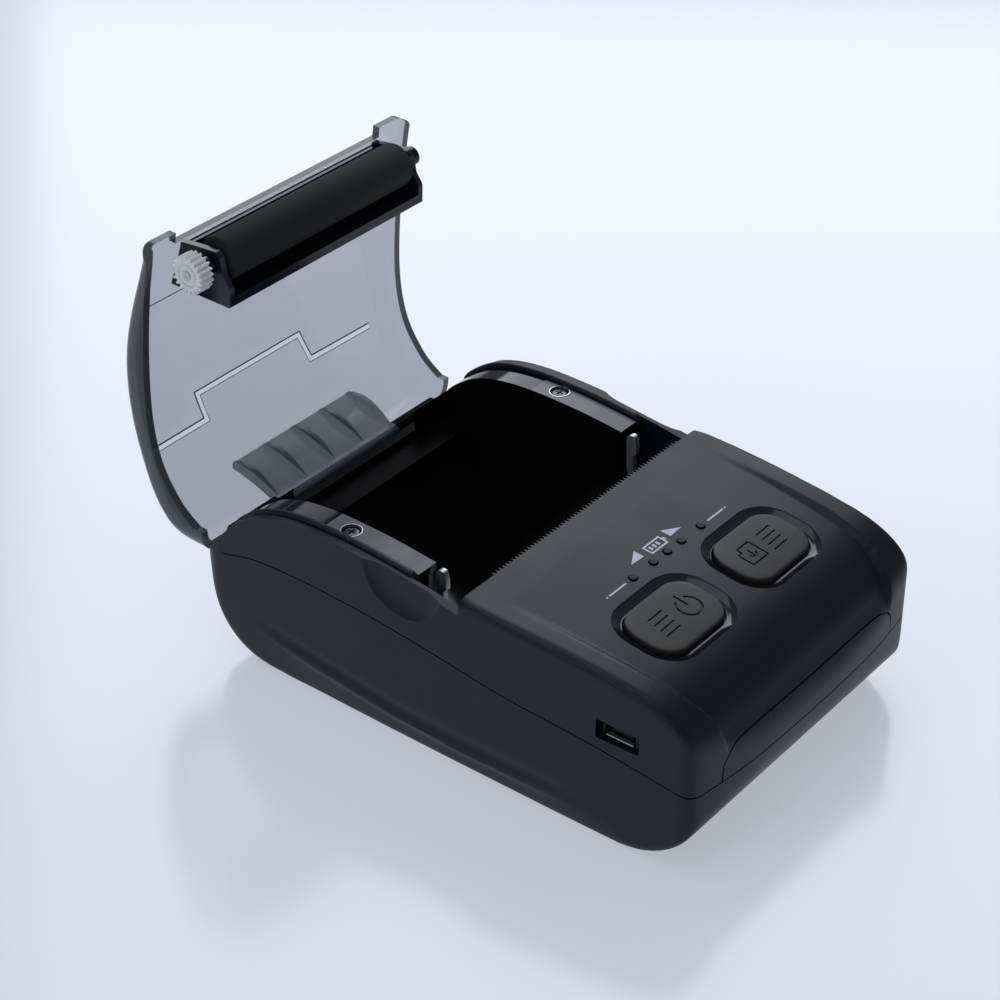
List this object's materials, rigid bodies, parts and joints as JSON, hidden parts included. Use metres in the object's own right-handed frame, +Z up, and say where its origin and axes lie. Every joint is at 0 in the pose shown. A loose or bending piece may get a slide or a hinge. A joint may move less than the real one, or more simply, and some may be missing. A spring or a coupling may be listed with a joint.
{
  "type": "receipt printer",
  "caption": "Pocket thermal receipt printer with a round paper bay, a hinged smoked lid that carries the rubber platen, a toothed tear edge, push buttons and a USB socket.",
  "frame": {"origin": "on the surface that the printer stands on, below the tear edge, midway across its width", "axes": "+X to the right seen from the front, +Y to the rear where the lid is hinged, +Z up"},
  "size_m": [0.0772, 0.1381, 0.086],
  "materials": {
    "satin_black": "fine satin texture",
    "gloss_black": "polished",
    "smoked_clear": "see-through smoked, polished",
    "smoked_dark": "see-through smoked, polished",
    "platen_rubber": "ground",
    "plated_steel": "bright plated",
    "white_nylon": "as moulded",
    "button_grey": "satin",
    "circuit_board": "solder mask",
    "ceramic": "glazed",
    "aluminium": "as extruded",
    "cell_wrap": "shrink film",
    "clear_lens": "polished",
    "brass": "turned"
  },
  "bodies": {
    "case": {"bottom_shell": "satin_black", "upper_shell": "satin_black", "paper_bin": "gloss_black", "hinge_pin": "plated_steel", "head_frame": "plated_steel", "head_spring": "plated_steel", "stepper_motor": "plated_steel", "main_board": "circuit_board", "usb_socket": "plated_steel", "radio_module": "aluminium", "power_switch": "gloss_black", "feed_switch": "gloss_black", "light_guide": "clear_lens", "battery_pack": "cell_wrap", "battery_contact_left": "brass", "battery_contact_right": "brass", "paper_sensor": "gloss_black", "lamp_1": "clear_lens", "lamp_2": "clear_lens", "lamp_3": "clear_lens", "lamp_4": "clear_lens", "lamp_5": "clear_lens", "case_screw_1": "plated_steel", "case_screw_2": "plated_steel", "case_screw_3": "plated_steel", "case_screw_4": "plated_steel", "bin_screw_1": "plated_steel", "bin_screw_2": "plated_steel"},
    "lid": {"lid": "smoked_clear", "lid_hinge_arm": "smoked_dark", "platen_bracket": "gloss_black", "platen_bush_left": "brass", "platen_bush_right": "brass"},
    "platen": {"platen_roller": "platen_rubber", "platen_shaft": "plated_steel", "platen_gear": "white_nylon"},
    "battery_door": {"battery_door": "satin_black"},
    "head": {"thermal_head": "ceramic", "head_heatsink": "aluminium"},
    "latch_left": {"latch_arm_left": "plated_steel"},
    "latch_right": {"latch_arm_right": "plated_steel"},
    "motor_rotor": {"motor_shaft": "plated_steel", "motor_pinion": "brass"},
    "idler": {"idler_gear": "white_nylon"},
    "drive": {"drive_gear": "white_nylon"},
    "power_key": {"power_button": "button_grey"},
    "feed_key": {"feed_button": "button_grey"}
  },
  "joints": [
    {"name": "lid_hinge", "type": "hinge", "parent": "case", "child": "lid", "pos_m": [0, 0.064, 0.0236], "axis": [1, 0, 0], "range_deg": [0, 88]},
    {"name": "platen_spin", "type": "hinge", "parent": "lid", "child": "platen", "pos_m": [0, 0.06839, 0.08139], "axis": [1, 0, 0], "continuous": true},
    {"name": "battery_door_hinge", "type": "hinge", "parent": "case", "child": "battery_door", "pos_m": [0, -0.0201, 0], "axis": [1, 0, 0], "range_deg": [0, 60]},
    {"name": "head_tilt", "type": "hinge", "parent": "case", "child": "head", "pos_m": [0, 0.0049, 0.0186], "axis": [1, 0, 0], "range_deg": [0, 2.5], "stiffness_Nm_per_rad": 0.3, "springref_deg": -2.86},
    {"name": "latch_left_swing", "type": "hinge", "parent": "case", "child": "latch_left", "pos_m": [-0.0301, 0.0083, 0.0176], "axis": [1, 0, 0], "range_deg": [0, 8], "stiffness_Nm_per_rad": 0.02},
    {"name": "latch_right_swing", "type": "hinge", "parent": "case", "child": "latch_right", "pos_m": [0.0301, 0.0083, 0.0176], "axis": [1, 0, 0], "range_deg": [0, 8]},
    {"name": "motor_spin", "type": "hinge", "parent": "case", "child": "motor_rotor", "pos_m": [0, -0.01371, 0.01794], "axis": [1, 0, 0], "continuous": true},
    {"name": "idler_spin", "type": "hinge", "parent": "case", "child": "idler", "pos_m": [0, -0.00423, 0.01794], "axis": [1, 0, 0], "continuous": true},
    {"name": "drive_spin", "type": "hinge", "parent": "case", "child": "drive", "pos_m": [0, 0.00558, 0.02273], "axis": [1, 0, 0], "continuous": true},
    {"name": "power_button_press", "type": "slide", "parent": "case", "child": "power_key", "axis": [0, 0, -1], "range_m": [0, 0.0008], "stiffness_N_per_m": 300},
    {"name": "feed_button_press", "type": "slide", "parent": "case", "child": "feed_key", "axis": [0, 0, -1], "range_m": [0, 0.0008], "stiffness_N_per_m": 300}
  ],
  "couplings": [
    {"joint": "idler_spin", "follows": "motor_spin", "ratio": -0.3},
    {"joint": "drive_spin", "follows": "motor_spin", "ratio": 0.6},
    {"joint": "latch_right_swing", "follows": "latch_left_swing", "ratio": 1}
  ]
}
